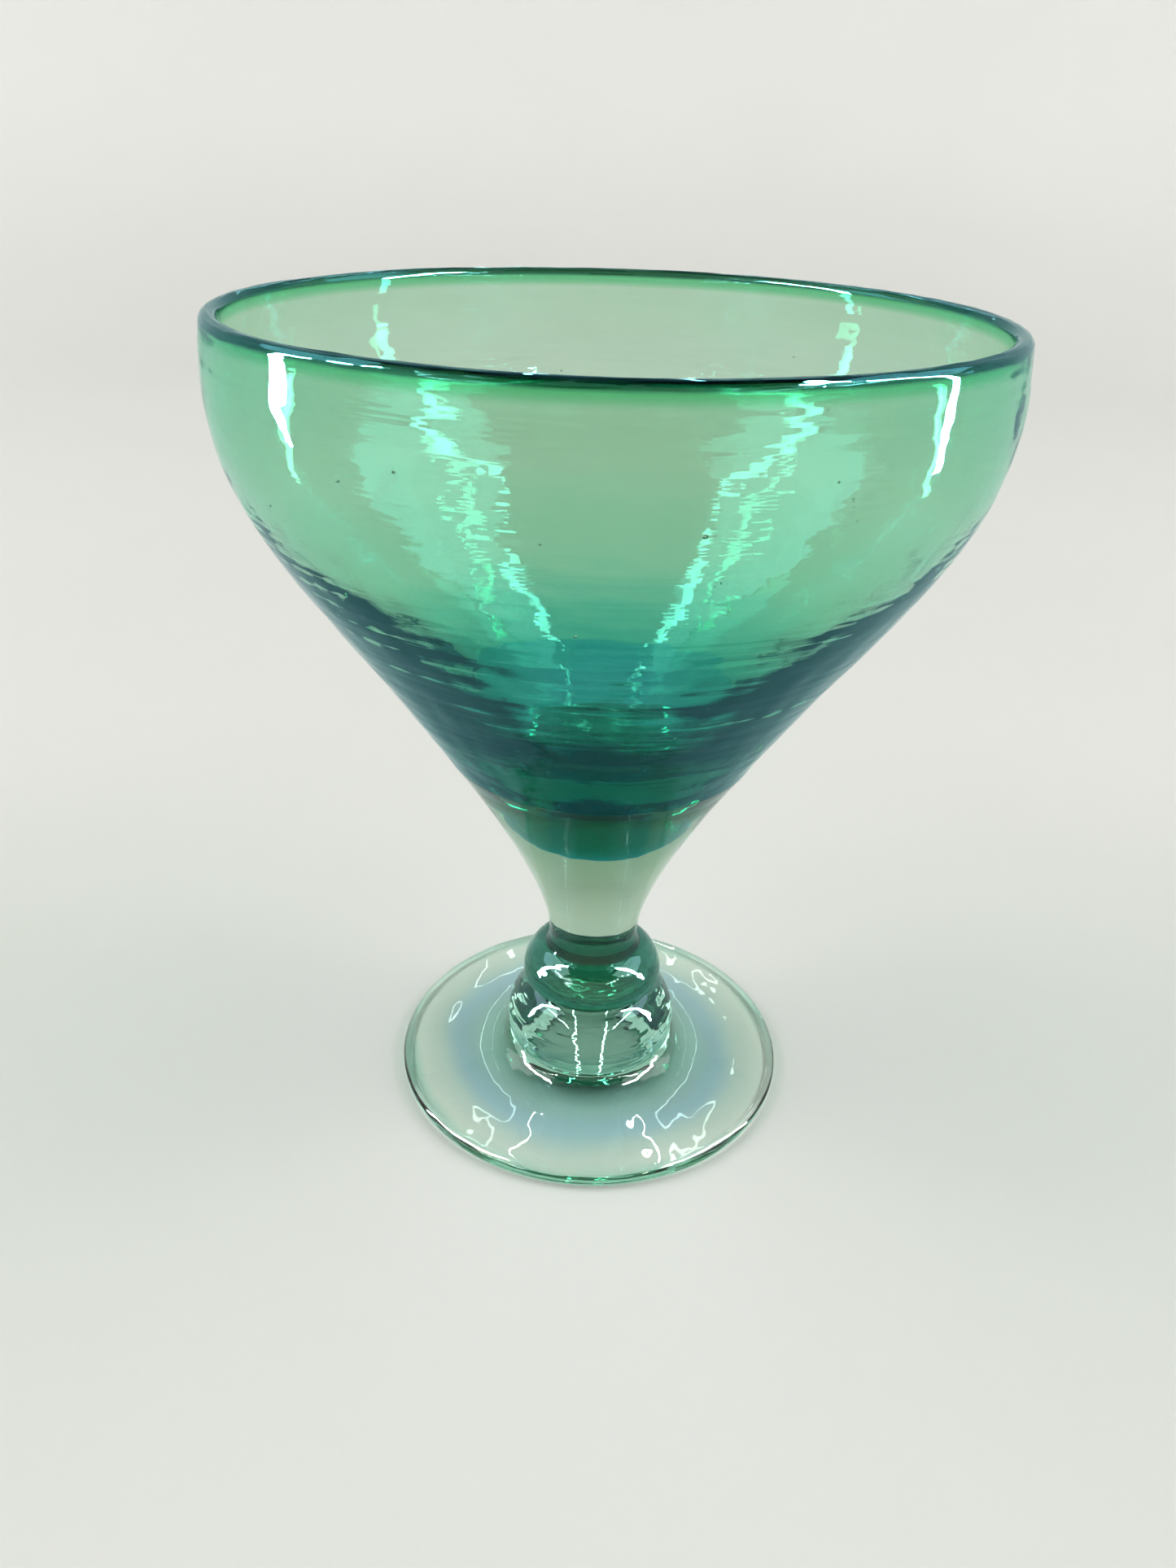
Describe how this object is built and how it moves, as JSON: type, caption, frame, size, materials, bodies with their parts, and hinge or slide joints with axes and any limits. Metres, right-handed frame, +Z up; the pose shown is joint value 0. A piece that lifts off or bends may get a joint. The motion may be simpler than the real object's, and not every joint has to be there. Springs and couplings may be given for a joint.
{
  "type": "cocktail glass",
  "caption": "Hand-blown footed cocktail glass: a wide green bowl with a rounded lip and solid base on a short clear stem, stacked knops and a round foot.",
  "frame": {"origin": "centre of the flat resting face under the foot", "axes": "+Z up along the axis of revolution, from the foot to the lip; X and Y are interchangeable"},
  "size_m": [0.1086, 0.1086, 0.1284],
  "materials": {
    "green_glass": "hand-blown green glass with a thin iridescent lustre, seed bubbles and fine turning lines",
    "clear_gather": "clear grey-green glass with a thin iridescent lustre",
    "teal_knop_glass": "teal glass, tooled while hot",
    "pale_knop_glass": "pale sea-green glass, tooled while hot",
    "foot_glass": "nearly clear aqua glass with an iridescent lustre and a teal edge"
  },
  "bodies": {
    "root": {"bowl": "green_glass", "stem": "clear_gather", "upper_knop": "teal_knop_glass", "lower_knop": "pale_knop_glass", "foot": "foot_glass"}
  },
  "joints": []
}
